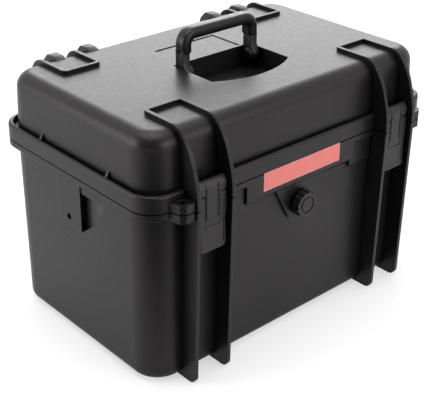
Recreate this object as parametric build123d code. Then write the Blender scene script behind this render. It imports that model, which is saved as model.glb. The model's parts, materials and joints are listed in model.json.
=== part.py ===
from build123d import *
import os

# Moulded case for fifteen hand-held microphones. Millimetres.
# Origin: centre of the footprint, on the ground. X is the width, the latches face -Y, Z is up.

# ---- Shell ----
RIM_WIDTH = 400.0
RIM_DEPTH = 252.0
RIM_CORNER = 26.0
RIM_OVERHANG = 6.0
BODY_CORNER = 30.0
WALL = 3.6
FOOT_HEIGHT = 3.0
SEAM_HEIGHT = 197.0
SEAM_GAP = 0.4
LID_RISE = 73.0
BASE_DRAFT = 1.0
LID_DRAFT = 2.7
BOTTOM_RADIUS = 9.0
TOP_RADIUS = 16.0
BASE_RIM_BAND = 6.5
LID_RIM_BAND = 18.0
RIM_EDGE_RADIUS = 4.0
GUTTER_WIDTH = 2.8
GUTTER_DEPTH = 5.0
GUSSET_PLACES = (52.0, -59.0)
GUSSET_THICKNESS = 3.0
GUSSET_RISE = 8.0

# ---- Seal ----
GROOVE_INSET = 5.0
GROOVE_WIDTH = 4.4
GROOVE_DEPTH = 7.0
TONGUE_HEIGHT = 3.0
TONGUE_CLEARANCE = 0.6
GASKET_CLEARANCE = 0.1
GASKET_GAP = 0.3

# ---- Strap fins ----
FIN_THICKNESS = 4.0
FIN_SPACING = 43.0
FIN_OUTER_INSET = 46.0
FIN_PROUD = 23.0
FIN_DRAFT = 4.5
FIN_FOOT_RADIUS = 9.0
RIDGE_HEIGHT = 4.0
RIDGE_END_Y = 63.5
RIDGE_CORNER = 6.0

# ---- Hinge ----
EAR_RADIUS = 8.0
EAR_CLEARANCE = 1.5
HINGE_PIN_RADIUS = 2.5
HINGE_RUNNING_CLEARANCE = 0.1
PIN_SEAT_CLEARANCE = 0.03
KNUCKLE_WIDTH = 13.0
SIDE_KNUCKLE_INSET = 21.0
PIN_END_MARGIN = 1.0

# ---- Latch ----
LATCH_WIDTH = 35.0
LATCH_PROUD = 11.0
LATCH_SWING_DROP = 44.0
LATCH_SWING_INSET = 8.0
LATCH_PIN_RADIUS = 2.0
LEVER_PIN_RADIUS = 1.5
LATCH_CLEARANCE = 0.1
LEVER_PIVOT_RISE = 5.0
LEVER_PIVOT_INSET = 4.0
LEVER_BOTTOM_DROP = 50.0
LEVER_PLATE_THICKNESS = 3.6
LEVER_ARM_DEPTH = 8.0
STEM_WIDTH = 18.5
STEM_GAP = 0.5
STEM_BOTTOM_DROP = 23.7
TONGUE_THICKNESS = 6.0
HOOK_RISE = 23.0
HOOK_BITE = 1.6
HOOK_REST_CLEARANCE = 0.3
CATCH_PROUD = 2.5
CATCH_HEIGHT = 5.0
CATCH_RISE = 14.0
BARREL_RADIUS = 4.0
BARREL_GAP = 0.6

# ---- Front skirt, label and valve ----
PANEL_HALF_WIDTH = 78.0
PANEL_DROP = 25.0
WING_HALF_WIDTH = 108.0
WING_DROP = 34.0
WING_PROUD = 3.0
WING_OVERLAP = 2.5
LABEL_WIDTH = 110.5
LABEL_HEIGHT = 20.2
LABEL_THICKNESS = 1.2
LABEL_GAP = 0.15
BOSS_PROUD = 3.0
BOSS_TOP_HALF_WIDTH = 36.0
BOSS_BOTTOM_RADIUS = 14.0
VALVE_DROP = 50.5
KNOB_RADIUS = 14.0
KNOB_THICKNESS = 9.0
KNOB_SCALLOPS = 12
KNOB_SCALLOP_RADIUS = 2.2
KNOB_RING_DEPTH = 0.8
KNOB_COLLAR_RADIUS = 9.5
VALVE_STEM_RADIUS = 6.0
VALVE_SPIGOT_RADIUS = 4.0
VALVE_FLANGE_RADIUS = 11.0
VALVE_FLANGE_THICKNESS = 2.5
VALVE_RUNNING_CLEARANCE = 0.1
ORING_SECTION_RADIUS = 1.0
NUT_ACROSS_FLATS = 19.0
NUT_THICKNESS = 5.0
NUT_SEAT_CLEARANCE = 0.1
NUT_ROOM = 16.0

# ---- Side pads ----
PAD_PROUD = 1.0
PAD_REAR_Y = 27.0
PAD_FRONT_Y = -11.0
PAD_DROP = 63.0
SIDE_HOLE_Y = 10.0
SIDE_HOLE_DROP = 53.0
SIDE_HOLE_RADIUS = 3.5
SIDE_HOLE_DEPTH = 6.0
SCOOP_DEPTH = 5.5
SCOOP_FRONT_Y = -50.0
SCOOP_TOP_DROP = 19.0
SCOOP_BOTTOM_DROP = 63.0
SCOOP_BOTTOM_FRONT_Y = -33.0
SCOOP_FRONT_DROP = 46.0
SCOOP_BACK_WALL = 2.5

# ---- Padlock tabs ----
TAB_WIDTH = 22.0
TAB_REACH = 14.5
TAB_LID_THICKNESS = 9.5
TAB_BASE_THICKNESS = 9.0
TAB_HOLE_OFFSET = 11.0
TAB_HOLE_INSET = 6.0
TAB_HOLE_RADIUS = 3.5

# ---- Handle and its pocket ----
POCKET_HALF_WIDTH = 54.5
POCKET_REAR_Y = 13.0
POCKET_SIDE_Y = -47.0
POCKET_FRONT_Y = -63.0
POCKET_DEPTH = 23.0
HANDLE_HALF_WIDTH = 53.3
HANDLE_RISE = 41.0
HANDLE_PIVOT_Y = 2.0
HANDLE_PIVOT_DROP = 6.0
LEG_WIDTH = 13.0
LEG_DEPTH = 18.0
GRIP_THICKNESS = 15.0
GRIP_DEPTH = 20.0
GRIP_SECTION_RADIUS = 6.0
GRIP_BEND_RADIUS = 16.0
GRIP_LENGTH = 27.0
CORE_WIDTH = 8.0
CORE_DEPTH = 12.0
OVERMOULD_GAP = 0.05
HANDLE_PIN_RADIUS = 3.0
HANDLE_PIN_CLEARANCE = 0.1
PLATE_RECESS_HALF_WIDTH = 42.0
PLATE_RECESS_FRONT_Y = 16.0
PLATE_RECESS_REAR_Y = 60.5
PLATE_RECESS_DEPTH = 0.8

# ---- Foam ----
FOAM_CLEARANCE = 0.3
FOAM_FLOOR_THICKNESS = 15.0
LINING_THICKNESS = 8.0
DIVIDER_THICKNESS = 8.0
DIVIDER_TOP_DROP = 25.0
COLUMNS = 5
ROWS = 3
LID_PAD_THICKNESS = 30.0
LID_BLOCK_HALF_DEPTH = 88.0
LID_BLOCK_OUTER_X = 164.0

# ---- Derived sizes ----
BODY_WIDTH = RIM_WIDTH - 2 * RIM_OVERHANG
BODY_DEPTH = RIM_DEPTH - 2 * RIM_OVERHANG
WALL_Y = BODY_DEPTH / 2
WALL_X = BODY_WIDTH / 2
RIM_Y = RIM_DEPTH / 2
LID_BOTTOM = SEAM_HEIGHT + SEAM_GAP
LID_TOP = SEAM_HEIGHT + LID_RISE
LID_RIM_TOP = SEAM_HEIGHT + LID_RIM_BAND
FLOOR_TOP = FOOT_HEIGHT + WALL
FIN_Y = WALL_Y + FIN_PROUD
HINGE_Y = FIN_Y - EAR_RADIUS
HINGE_Z = SEAM_HEIGHT
FIN_OUTER_X = RIM_WIDTH / 2 - FIN_OUTER_INSET
FIN_INNER_X = FIN_OUTER_X - FIN_SPACING
SIDE_KNUCKLE_X = FIN_INNER_X - SIDE_KNUCKLE_INSET
TAB_FAR_X = FIN_OUTER_X + TAB_WIDTH
TAB_HOLE_X = FIN_OUTER_X + TAB_HOLE_OFFSET
LATCH_SWING_Z = SEAM_HEIGHT - LATCH_SWING_DROP
LEVER_PIVOT_Z = SEAM_HEIGHT + LEVER_PIVOT_RISE
LEVER_BOTTOM = SEAM_HEIGHT - LEVER_BOTTOM_DROP
STEM_BOTTOM = SEAM_HEIGHT - STEM_BOTTOM_DROP
HOOK_TOP = SEAM_HEIGHT + HOOK_RISE
CATCH_TOP = SEAM_HEIGHT + CATCH_RISE
VALVE_Z = SEAM_HEIGHT - VALVE_DROP
PAD_BOTTOM = SEAM_HEIGHT - PAD_DROP
SIDE_HOLE_Z = SEAM_HEIGHT - SIDE_HOLE_DROP
SCOOP_TOP = SEAM_HEIGHT - SCOOP_TOP_DROP
SCOOP_BOTTOM = SEAM_HEIGHT - SCOOP_BOTTOM_DROP
SCOOP_BOTTOM_FRONT_Z = SEAM_HEIGHT - SCOOP_FRONT_DROP
HANDLE_TOP = LID_TOP + HANDLE_RISE
GRIP_BOTTOM = HANDLE_TOP - GRIP_LENGTH
DIVIDER_TOP = SEAM_HEIGHT - DIVIDER_TOP_DROP
LATCH_X = (FIN_INNER_X + FIN_OUTER_X) / 2
LATCH_FACE_Y = -(RIM_Y + LATCH_PROUD)
LATCH_SWING_Y = LATCH_FACE_Y + LATCH_SWING_INSET
LEVER_PIVOT_Y = LATCH_FACE_Y + LEVER_PIVOT_INSET
CHANNEL_HALF_WIDTH = (FIN_OUTER_X - FIN_INNER_X - FIN_THICKNESS) / 2
POCKET_FLOOR = LID_TOP - POCKET_DEPTH
HANDLE_PIVOT_Z = LID_TOP - HANDLE_PIVOT_DROP
VALVE_FACE_Y = -(WALL_Y + BOSS_PROUD)
LINING_OUTER_Y = WALL_Y - BASE_DRAFT - WALL - FOAM_CLEARANCE
LINING_OUTER_X = WALL_X - BASE_DRAFT - WALL - FOAM_CLEARANCE
FOAM_BOTTOM = FLOOR_TOP + FOAM_FLOOR_THICKNESS + FOAM_CLEARANCE


def tapered_block(width, depth, corner, low, high, width_change, corner_change=0.0):
    """A rounded rectangular block from height low to high, changing size evenly by width_change."""
    lower = Pos(0, 0, low) * RectangleRounded(width, depth, corner)
    upper = Pos(0, 0, high) * RectangleRounded(
        width + width_change, depth + width_change, corner + corner_change
    )
    return loft([lower, upper])


def straight_block(width, depth, corner, low, high):
    return extrude(Pos(0, 0, low) * RectangleRounded(width, depth, corner), high - low)


def ring(inset, width, low, high):
    """A band that follows the rim outline, its centre line inset from the rim's edge."""
    outer_inset = inset - width / 2
    inner_inset = inset + width / 2
    outer = straight_block(
        RIM_WIDTH - 2 * outer_inset, RIM_DEPTH - 2 * outer_inset, RIM_CORNER - outer_inset, low, high
    )
    inner = straight_block(
        RIM_WIDTH - 2 * inner_inset, RIM_DEPTH - 2 * inner_inset, RIM_CORNER - inner_inset, low, high
    )
    return outer - inner


def plate_across_x(outline, centre_x, thickness):
    """Extrudes an outline, drawn as (y, z), to a plate of the given thickness centred on centre_x."""
    return extrude(Plane.YZ.offset(centre_x - thickness / 2) * outline, thickness)


def plate_across_y(outline, low_y, high_y):
    """Extrudes an outline, drawn as (x, z), from low_y to high_y."""
    flat = extrude(Plane.XZ.offset(-high_y) * outline, high_y - low_y)
    return flat


def rod_x(radius, y, z, low_x, high_x):
    return Pos((low_x + high_x) / 2, y, z) * Rot(0, 90, 0) * Cylinder(radius, high_x - low_x)


def rod_y(radius, x, z, low_y, high_y):
    return Pos(x, (low_y + high_y) / 2, z) * Rot(90, 0, 0) * Cylinder(radius, high_y - low_y)


def box_between(x0, x1, y0, y1, z0, z1):
    return Pos((x0 + x1) / 2, (y0 + y1) / 2, (z0 + z1) / 2) * Box(x1 - x0, y1 - y0, z1 - z0)


def mirrored_x(shape):
    return mirror(shape, about=Plane.YZ)


def both_sides(shape):
    return shape + mirrored_x(shape)


def closed_outline(points, radii):
    """A face from an outline whose listed corners are rounded; a radius of 0 leaves a sharp corner."""
    face = make_face(Polyline(*points, close=True))
    for point, radius in zip(points, radii):
        if radius > 0:
            corner = face.vertices().sort_by_distance((point[0], point[1], 0))[0]
            face = fillet(corner, radius)
    return face


# ---- Strap fins ----
def base_fin_outline():
    inside = RIDGE_END_Y + RIDGE_CORNER
    foot_y = FIN_Y - FIN_DRAFT
    points = [(inside, 0), (foot_y, 0), (FIN_Y, SEAM_HEIGHT), (inside, SEAM_HEIGHT)]
    return closed_outline(points, [0, FIN_FOOT_RADIUS, 0, 0])


def lid_fin_outline():
    inside = RIDGE_END_Y + RIDGE_CORNER
    crest = LID_TOP + RIDGE_HEIGHT
    outer = FilletPolyline(
        (inside, crest),
        (FIN_Y - 27, crest),
        (FIN_Y - 10, crest - 24),
        (FIN_Y, SEAM_HEIGHT + LID_RIM_BAND),
        (FIN_Y, LID_BOTTOM),
        radius=[18, 60, 80],
    )
    back = Polyline((FIN_Y, LID_BOTTOM), (inside, LID_BOTTOM), (inside, crest))
    return make_face(outer.edges() + back.edges())


def fin_set(outline):
    """Four fins on the rear side, each at its own place across the width."""
    fins = [plate_across_x(outline, x, FIN_THICKNESS) for x in (FIN_INNER_X, FIN_OUTER_X)]
    return both_sides(fins[0] + fins[1])


def ridge_closers(low, high):
    """The closed ends of the U-shaped ridges that join each pair of fins, front and rear."""
    length = FIN_Y - FIN_PROUD - RIDGE_END_Y
    half = FIN_THICKNESS / 2
    outer = closed_outline(
        [
            (FIN_INNER_X - half, RIDGE_END_Y),
            (FIN_OUTER_X + half, RIDGE_END_Y),
            (FIN_OUTER_X + half, RIDGE_END_Y + length / 2),
            (FIN_INNER_X - half, RIDGE_END_Y + length / 2),
        ],
        [RIDGE_CORNER, RIDGE_CORNER, 0, 0],
    )
    inner = closed_outline(
        [
            (FIN_INNER_X + half, RIDGE_END_Y + FIN_THICKNESS),
            (FIN_OUTER_X - half, RIDGE_END_Y + FIN_THICKNESS),
            (FIN_OUTER_X - half, RIDGE_END_Y + length / 2),
            (FIN_INNER_X + half, RIDGE_END_Y + length / 2),
        ],
        [RIDGE_CORNER - FIN_THICKNESS, RIDGE_CORNER - FIN_THICKNESS, 0, 0],
    )
    closer = extrude(Pos(0, 0, low) * (outer - inner), high - low)
    rear = both_sides(closer)
    return rear + mirror(rear, about=Plane.XZ)


# ---- Front skirt ----
def skirt_band(half_width, proud, drop):
    """A proud band hanging from the rim, with a 45 degree lower edge."""
    bottom = SEAM_HEIGHT - drop
    outline = make_face(
        Polyline(
            (-WALL_Y + BASE_DRAFT + 1, SEAM_HEIGHT),
            (-WALL_Y - proud, SEAM_HEIGHT),
            (-WALL_Y - proud, bottom),
            (-WALL_Y + BASE_DRAFT + 1, bottom - proud - BASE_DRAFT - 1),
            close=True,
        )
    )
    return plate_across_x(outline, 0, 2 * half_width)


def skirt_wings():
    width = WING_HALF_WIDTH - PANEL_HALF_WIDTH + WING_OVERLAP
    band = skirt_band(width / 2, WING_PROUD, WING_DROP)
    wing = Pos(WING_HALF_WIDTH - width / 2, 0, 0) * band
    return both_sides(wing)


def valve_boss():
    top = SEAM_HEIGHT - PANEL_DROP
    bottom = VALVE_Z - KNOB_RADIUS - 2
    outline = closed_outline(
        [
            (-BOSS_TOP_HALF_WIDTH, top),
            (-BOSS_BOTTOM_RADIUS, bottom),
            (BOSS_BOTTOM_RADIUS, bottom),
            (BOSS_TOP_HALF_WIDTH, top),
        ],
        [0, BOSS_BOTTOM_RADIUS / 2, BOSS_BOTTOM_RADIUS / 2, 0],
    )
    return plate_across_y(outline, VALVE_FACE_Y, -WALL_Y + BASE_DRAFT + 1)


# ---- Side pads ----
def side_pad():
    radius = (PAD_REAR_Y - PAD_FRONT_Y) / 4
    outline = closed_outline(
        [
            (PAD_REAR_Y, SEAM_HEIGHT - BASE_RIM_BAND),
            (PAD_REAR_Y, PAD_BOTTOM),
            (PAD_FRONT_Y, PAD_BOTTOM),
            (PAD_FRONT_Y, SEAM_HEIGHT - BASE_RIM_BAND),
        ],
        [0, radius, 0, 0],
    )
    depth = PAD_PROUD + BASE_DRAFT + 1
    return plate_across_x(outline, WALL_X + PAD_PROUD - depth / 2, depth)


def scoop_cut():
    """A finger scoop: deepest at its rear edge and running out towards the front."""
    depth_outline = make_face(
        Polyline(
            (WALL_X + PAD_PROUD + 1, PAD_FRONT_Y),
            (WALL_X - SCOOP_DEPTH, PAD_FRONT_Y),
            (WALL_X, SCOOP_FRONT_Y),
            (WALL_X + PAD_PROUD + 1, SCOOP_FRONT_Y),
            close=True,
        )
    )
    wedge = extrude(Pos(0, 0, SCOOP_BOTTOM) * depth_outline, SCOOP_TOP - SCOOP_BOTTOM)
    side_outline = make_face(
        Polyline(
            (PAD_FRONT_Y, SCOOP_TOP),
            (SCOOP_FRONT_Y, SCOOP_TOP),
            (SCOOP_BOTTOM_FRONT_Y, SCOOP_BOTTOM_FRONT_Z),
            (PAD_FRONT_Y, SCOOP_BOTTOM),
            close=True,
        )
    )
    return wedge & plate_across_x(side_outline, WALL_X, 4 * SCOOP_DEPTH)


def side_bump(grow=0.0):
    """The thickening inside the wall, behind the hole and the scoop."""
    inner_x = WALL_X - SCOOP_DEPTH - SCOOP_BACK_WALL - grow
    return box_between(
        inner_x,
        WALL_X - BASE_DRAFT / 2,
        SCOOP_FRONT_Y - grow,
        SIDE_HOLE_Y + 2 * SIDE_HOLE_RADIUS + grow,
        SCOOP_BOTTOM - WALL - grow,
        SCOOP_TOP + WALL + grow,
    )


def side_hole():
    deep = WALL_X + PAD_PROUD - SIDE_HOLE_DEPTH
    return rod_x(SIDE_HOLE_RADIUS, SIDE_HOLE_Y, SIDE_HOLE_Z, deep, WALL_X + PAD_PROUD + 1)


# ---- Padlock tabs ----
def tab(low, high):
    outer_y = -(RIM_Y + TAB_REACH)
    inner_x = FIN_OUTER_X
    outline = closed_outline(
        [
            (inner_x, -RIM_Y + RIM_OVERHANG),
            (TAB_FAR_X - 8, -RIM_Y + RIM_OVERHANG),
            (TAB_FAR_X - 1, -RIM_Y + 1),
            (TAB_FAR_X - 3, -RIM_Y - 6),
            (TAB_FAR_X - 4, outer_y + 4),
            (TAB_FAR_X - 9, outer_y),
            (inner_x, outer_y),
        ],
        [0, 0, 0, 3, 2.5, 2.5, 0],
    )
    plate = extrude(Pos(0, 0, low) * outline, high - low)
    hole = Pos(TAB_HOLE_X, -RIM_Y - TAB_HOLE_INSET, (low + high) / 2) * Cylinder(
        TAB_HOLE_RADIUS, high - low + 2
    )
    return both_sides(plate), both_sides(hole)


# ---- Base shell ----
def base_cavity():
    corner = BODY_CORNER - WALL
    low_width = BODY_WIDTH - 2 * BASE_DRAFT - 2 * WALL
    low_depth = BODY_DEPTH - 2 * BASE_DRAFT - 2 * WALL
    room = tapered_block(
        low_width, low_depth, corner, FLOOR_TOP, SEAM_HEIGHT + TONGUE_HEIGHT + 1, 2 * BASE_DRAFT
    )
    return fillet(room.faces().sort_by(Axis.Z)[0].edges(), BOTTOM_RADIUS - WALL)


def base_shell():
    low_width = BODY_WIDTH - 2 * BASE_DRAFT
    low_depth = BODY_DEPTH - 2 * BASE_DRAFT
    body = tapered_block(low_width, low_depth, BODY_CORNER, FOOT_HEIGHT, SEAM_HEIGHT, 2 * BASE_DRAFT)
    body = fillet(body.faces().sort_by(Axis.Z)[0].edges(), BOTTOM_RADIUS)
    band_bottom = SEAM_HEIGHT - BASE_RIM_BAND
    rim = straight_block(RIM_WIDTH, RIM_DEPTH, RIM_CORNER, band_bottom, SEAM_HEIGHT)
    slope = loft(
        [
            Pos(0, 0, band_bottom - RIM_OVERHANG) * RectangleRounded(BODY_WIDTH, BODY_DEPTH, BODY_CORNER),
            Pos(0, 0, band_bottom) * RectangleRounded(RIM_WIDTH, RIM_DEPTH, RIM_CORNER),
        ]
    )
    shell = body + rim + slope

    rear_fins = fin_set(base_fin_outline())
    ears = [
        rod_x(EAR_RADIUS, HINGE_Y, HINGE_Z, x - FIN_THICKNESS / 2, x + FIN_THICKNESS / 2)
        for x in (FIN_INNER_X, FIN_OUTER_X)
    ]
    shell += rear_fins
    shell += mirror(rear_fins, about=Plane.XZ)
    shell += both_sides(ears[0] + ears[1])
    shell += ridge_closers(0, FOOT_HEIGHT + WALL / 2)

    shell += skirt_wings()
    shell += skirt_band(PANEL_HALF_WIDTH, RIM_OVERHANG, PANEL_DROP)
    shell += valve_boss()
    shell += both_sides(side_pad())
    plate, tab_hole = tab(SEAM_HEIGHT - TAB_BASE_THICKNESS, SEAM_HEIGHT)
    shell += plate

    shell -= base_cavity() - both_sides(side_bump())
    shell += ring(GROOVE_INSET, GROOVE_WIDTH - 2 * TONGUE_CLEARANCE, SEAM_HEIGHT, SEAM_HEIGHT + TONGUE_HEIGHT)

    shell -= tab_hole
    shell -= both_sides(scoop_cut())
    shell -= both_sides(side_hole())
    shell -= box_between(
        -LABEL_WIDTH / 2 - LABEL_GAP,
        LABEL_WIDTH / 2 + LABEL_GAP,
        -RIM_Y - 1,
        -RIM_Y + LABEL_THICKNESS,
        SEAM_HEIGHT - LABEL_HEIGHT - LABEL_GAP,
        SEAM_HEIGHT + 1,
    )
    shell -= rod_y(VALVE_STEM_RADIUS + VALVE_RUNNING_CLEARANCE, 0, VALVE_Z, VALVE_FACE_Y - 1, 0)
    reach = FIN_OUTER_X + FIN_THICKNESS
    for y, z, radius in (
        (HINGE_Y, HINGE_Z, HINGE_PIN_RADIUS),
        (LATCH_SWING_Y, LATCH_SWING_Z, LATCH_PIN_RADIUS),
    ):
        hole = rod_x(radius + PIN_SEAT_CLEARANCE, y, z, FIN_INNER_X - FIN_THICKNESS, reach)
        shell -= both_sides(hole)
    return shell


# ---- Lid shell ----
def handle_pocket_outline(grow=0.0):
    side = POCKET_HALF_WIDTH + grow
    front = ThreePointArc(
        (-side, POCKET_SIDE_Y - grow / 2), (0, POCKET_FRONT_Y - grow), (side, POCKET_SIDE_Y - grow / 2)
    )
    rest = Polyline(
        (side, POCKET_SIDE_Y - grow / 2),
        (side, POCKET_REAR_Y + grow),
        (-side, POCKET_REAR_Y + grow),
        (-side, POCKET_SIDE_Y - grow / 2),
    )
    return make_face(front.edges() + rest.edges())


def lid_cavity():
    corner = BODY_CORNER - WALL
    room = tapered_block(
        BODY_WIDTH - 2 * WALL,
        BODY_DEPTH - 2 * WALL,
        corner,
        LID_BOTTOM - 1,
        LID_TOP - WALL,
        -2 * LID_DRAFT,
        -LID_DRAFT,
    )
    room = fillet(room.faces().sort_by(Axis.Z)[-1].edges(), TOP_RADIUS - WALL)
    bump = extrude(Pos(0, 0, POCKET_FLOOR - WALL) * handle_pocket_outline(WALL), POCKET_DEPTH)
    return room - bump


def hinge_arm(centre_x):
    outline = closed_outline(
        [
            (HINGE_Y - 35, LID_BOTTOM),
            (HINGE_Y - EAR_RADIUS + 1, LID_BOTTOM),
            (HINGE_Y, HINGE_Z),
            (FIN_Y, HINGE_Z),
            (FIN_Y - 8, SEAM_HEIGHT + 32),
            (FIN_Y - 18, LID_TOP - 12),
            (FIN_Y - 30, LID_TOP - 1),
            (HINGE_Y - 35, LID_TOP - 6),
        ],
        [0, 0, 0, 0, 20, 18, 6, 0],
    )
    arm = plate_across_x(outline, centre_x, KNUCKLE_WIDTH)
    half = KNUCKLE_WIDTH / 2
    return arm + rod_x(EAR_RADIUS, HINGE_Y, HINGE_Z, centre_x - half, centre_x + half)


def latch_catch():
    top = CATCH_TOP
    bottom = CATCH_TOP - CATCH_HEIGHT
    outline = make_face(
        Polyline(
            (-RIM_Y + 1, bottom - CATCH_PROUD),
            (-RIM_Y, bottom - CATCH_PROUD),
            (-RIM_Y - CATCH_PROUD, bottom),
            (-RIM_Y - CATCH_PROUD, top),
            (-RIM_Y + 1, top),
            close=True,
        )
    )
    return plate_across_x(outline, LATCH_X, 2 * CHANNEL_HALF_WIDTH + 1)


def gusset(y):
    outline = make_face(
        Polyline(
            (WALL_X - WALL / 2, LID_RIM_TOP - GUTTER_DEPTH - 1),
            (WALL_X + GUTTER_WIDTH + 1, LID_RIM_TOP - GUTTER_DEPTH - 1),
            (WALL_X + GUTTER_WIDTH + 1, LID_RIM_TOP - 1),
            (WALL_X - WALL / 2, LID_RIM_TOP + GUSSET_RISE),
            close=True,
        )
    )
    return plate_across_y(outline, y - GUSSET_THICKNESS / 2, y + GUSSET_THICKNESS / 2)


def lid_shell():
    rim = straight_block(RIM_WIDTH, RIM_DEPTH, RIM_CORNER, LID_BOTTOM, LID_RIM_TOP)
    rim = fillet(rim.faces().sort_by(Axis.Z)[-1].edges(), RIM_EDGE_RADIUS * 0.75)
    gutter = straight_block(
        BODY_WIDTH + 2 * GUTTER_WIDTH,
        BODY_DEPTH + 2 * GUTTER_WIDTH,
        BODY_CORNER - GUTTER_WIDTH,
        LID_RIM_TOP - GUTTER_DEPTH,
        LID_RIM_TOP + 1,
    )
    body = tapered_block(
        BODY_WIDTH, BODY_DEPTH, BODY_CORNER, LID_BOTTOM, LID_TOP, -2 * LID_DRAFT, -LID_DRAFT
    )
    body = fillet(body.faces().sort_by(Axis.Z)[-1].edges(), TOP_RADIUS)
    shell = (rim - gutter) + body

    fins = fin_set(lid_fin_outline())
    shell += mirror(fins, about=Plane.XZ)
    below_fins = box_between(
        -RIM_WIDTH, RIM_WIDTH, RIM_Y, FIN_Y + 1, 0, HINGE_Z + EAR_RADIUS + EAR_CLEARANCE
    )
    shell += fins - below_fins
    shell += ridge_closers(LID_TOP - WALL / 2, LID_TOP + RIDGE_HEIGHT)
    for x in (LATCH_X, SIDE_KNUCKLE_X):
        shell += both_sides(hinge_arm(x))
    shell += both_sides(latch_catch())
    for y in GUSSET_PLACES:
        shell += both_sides(gusset(y))
    plate, tab_hole = tab(LID_BOTTOM, LID_BOTTOM + TAB_LID_THICKNESS)
    shell += plate

    shell -= lid_cavity()
    shell -= ring(GROOVE_INSET, GROOVE_WIDTH, LID_BOTTOM - 1, LID_BOTTOM + GROOVE_DEPTH)
    shell -= extrude(Pos(0, 0, POCKET_FLOOR) * handle_pocket_outline(), POCKET_DEPTH + 1)
    shell -= box_between(
        -PLATE_RECESS_HALF_WIDTH,
        PLATE_RECESS_HALF_WIDTH,
        PLATE_RECESS_FRONT_Y,
        PLATE_RECESS_REAR_Y,
        LID_TOP - PLATE_RECESS_DEPTH,
        LID_TOP + 1,
    )
    shell -= tab_hole
    shell -= both_sides(
        rod_x(
            HINGE_PIN_RADIUS + HINGE_RUNNING_CLEARANCE,
            HINGE_Y,
            HINGE_Z,
            SIDE_KNUCKLE_X - KNUCKLE_WIDTH,
            FIN_OUTER_X,
        )
    )
    shell -= both_sides(
        rod_x(
            HANDLE_PIN_RADIUS + PIN_SEAT_CLEARANCE,
            HANDLE_PIVOT_Y,
            HANDLE_PIVOT_Z,
            POCKET_HALF_WIDTH - 1,
            POCKET_HALF_WIDTH + WALL + 1,
        )
    )
    return shell


# ---- Seal and pins ----
def gasket():
    bottom = SEAM_HEIGHT + TONGUE_HEIGHT + GASKET_GAP
    return ring(GROOVE_INSET, GROOVE_WIDTH - 2 * GASKET_CLEARANCE, bottom, LID_BOTTOM + GROOVE_DEPTH)


def hinge_pins():
    start = SIDE_KNUCKLE_X - KNUCKLE_WIDTH / 2 - PIN_END_MARGIN
    end = FIN_OUTER_X + FIN_THICKNESS / 2
    return both_sides(rod_x(HINGE_PIN_RADIUS, HINGE_Y, HINGE_Z, start, end))


def latch_pins():
    start = FIN_INNER_X - FIN_THICKNESS / 2
    end = FIN_OUTER_X + FIN_THICKNESS / 2
    return both_sides(rod_x(LATCH_PIN_RADIUS, LATCH_SWING_Y, LATCH_SWING_Z, start, end))


def handle_pins():
    start = HANDLE_HALF_WIDTH - LEG_WIDTH - 0.5
    end = POCKET_HALF_WIDTH + WALL
    return both_sides(rod_x(HANDLE_PIN_RADIUS, HANDLE_PIVOT_Y, HANDLE_PIVOT_Z, start, end))


# ---- Latches ----
def latch_link():
    """T-shaped link: hook on top, stem in the lever's slot, hidden tongue down to the swing pin."""
    half = LATCH_WIDTH / 2
    stem = STEM_WIDTH / 2
    bar_bottom = LEVER_PIVOT_Z + LEVER_PIVOT_INSET + STEM_GAP
    hook_tip_y = -RIM_Y - CATCH_PROUD - HOOK_REST_CLEARANCE
    front_view = make_face(
        Polyline(
            (-half + 1, bar_bottom),
            (-half, bar_bottom + 3),
            (-half, HOOK_TOP),
            (half, HOOK_TOP),
            (half, bar_bottom + 3),
            (half - 1, bar_bottom),
            (stem, bar_bottom),
            (stem, LATCH_SWING_Z - BARREL_RADIUS),
            (-stem, LATCH_SWING_Z - BARREL_RADIUS),
            (-stem, bar_bottom),
            close=True,
        )
    )
    back_y = LATCH_FACE_Y + LEVER_ARM_DEPTH
    hook_bottom = CATCH_TOP + HOOK_REST_CLEARANCE
    tongue_face = LATCH_FACE_Y + LEVER_PLATE_THICKNESS + STEM_GAP
    side_view = closed_outline(
        [
            (LATCH_FACE_Y, STEM_BOTTOM),
            (LATCH_FACE_Y, HOOK_TOP - 6),
            (LATCH_FACE_Y + 4, HOOK_TOP),
            (hook_tip_y, HOOK_TOP - 1),
            (hook_tip_y, hook_bottom),
            (back_y - 2, hook_bottom),
            (back_y - 2, LEVER_PIVOT_Z),
            (tongue_face + TONGUE_THICKNESS, STEM_BOTTOM),
            (tongue_face + TONGUE_THICKNESS, LATCH_SWING_Z),
            (tongue_face, LATCH_SWING_Z),
            (tongue_face, STEM_BOTTOM),
        ],
        [0, 6, 3, 1.5, 0, 0, 0, 0, 0, 0, 0],
    )
    link = plate_across_y(front_view, LATCH_FACE_Y - 5, -RIM_Y) & plate_across_x(side_view, 0, LATCH_WIDTH)
    barrel_half = CHANNEL_HALF_WIDTH - BARREL_GAP
    link += rod_x(BARREL_RADIUS, LATCH_SWING_Y, LATCH_SWING_Z, -barrel_half, barrel_half)
    link -= rod_x(
        LATCH_PIN_RADIUS + LATCH_CLEARANCE, LATCH_SWING_Y, LATCH_SWING_Z, -barrel_half - 1, barrel_half + 1
    )
    link -= rod_x(LEVER_PIN_RADIUS + PIN_SEAT_CLEARANCE, LEVER_PIVOT_Y, LEVER_PIVOT_Z, -stem - 1, stem + 1)
    return link


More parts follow.
